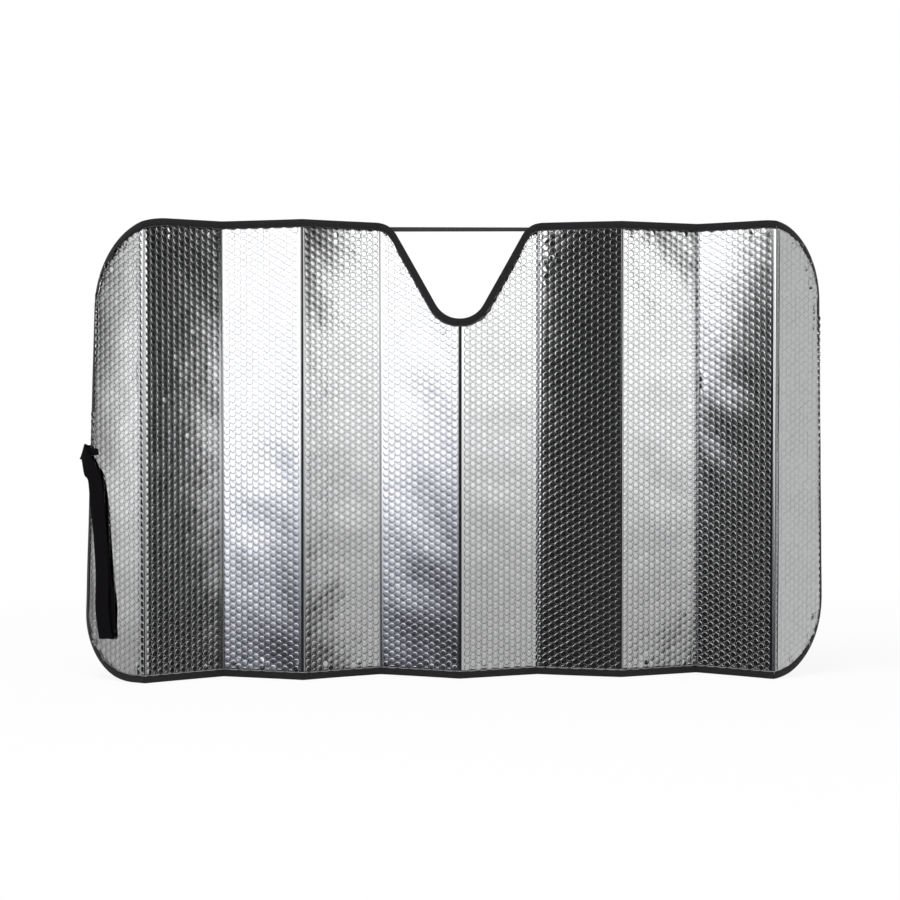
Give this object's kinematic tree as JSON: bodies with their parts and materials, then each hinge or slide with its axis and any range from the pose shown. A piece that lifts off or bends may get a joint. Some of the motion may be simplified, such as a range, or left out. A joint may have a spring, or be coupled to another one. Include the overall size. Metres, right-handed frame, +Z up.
{
  "type": "windscreen sunshade",
  "caption": "Folding windscreen sunshade of metallised bubble foil with a mirror notch, bound in woven tape, with an elastic across the notch and a closing strap.",
  "frame": {"origin": "foot of the middle fold, on the surface that the shade stands on", "axes": "+Z up along the folds, +X to the right along the opened shade as its shiny face is seen, and the shiny face looks towards -Y"},
  "size_m": [1.3146, 0.0979, 0.8],
  "materials": {
    "foil": "bright metallised film over air bubbles",
    "binding": "matt charcoal woven tape",
    "elastic": "matt dark knitted elastic",
    "webbing": "matt black webbing"
  },
  "bodies": {
    "root": {"foil_sheet": "foil", "edge_binding": "binding", "notch_elastic": "elastic", "closure_strap": "webbing"}
  },
  "joints": []
}
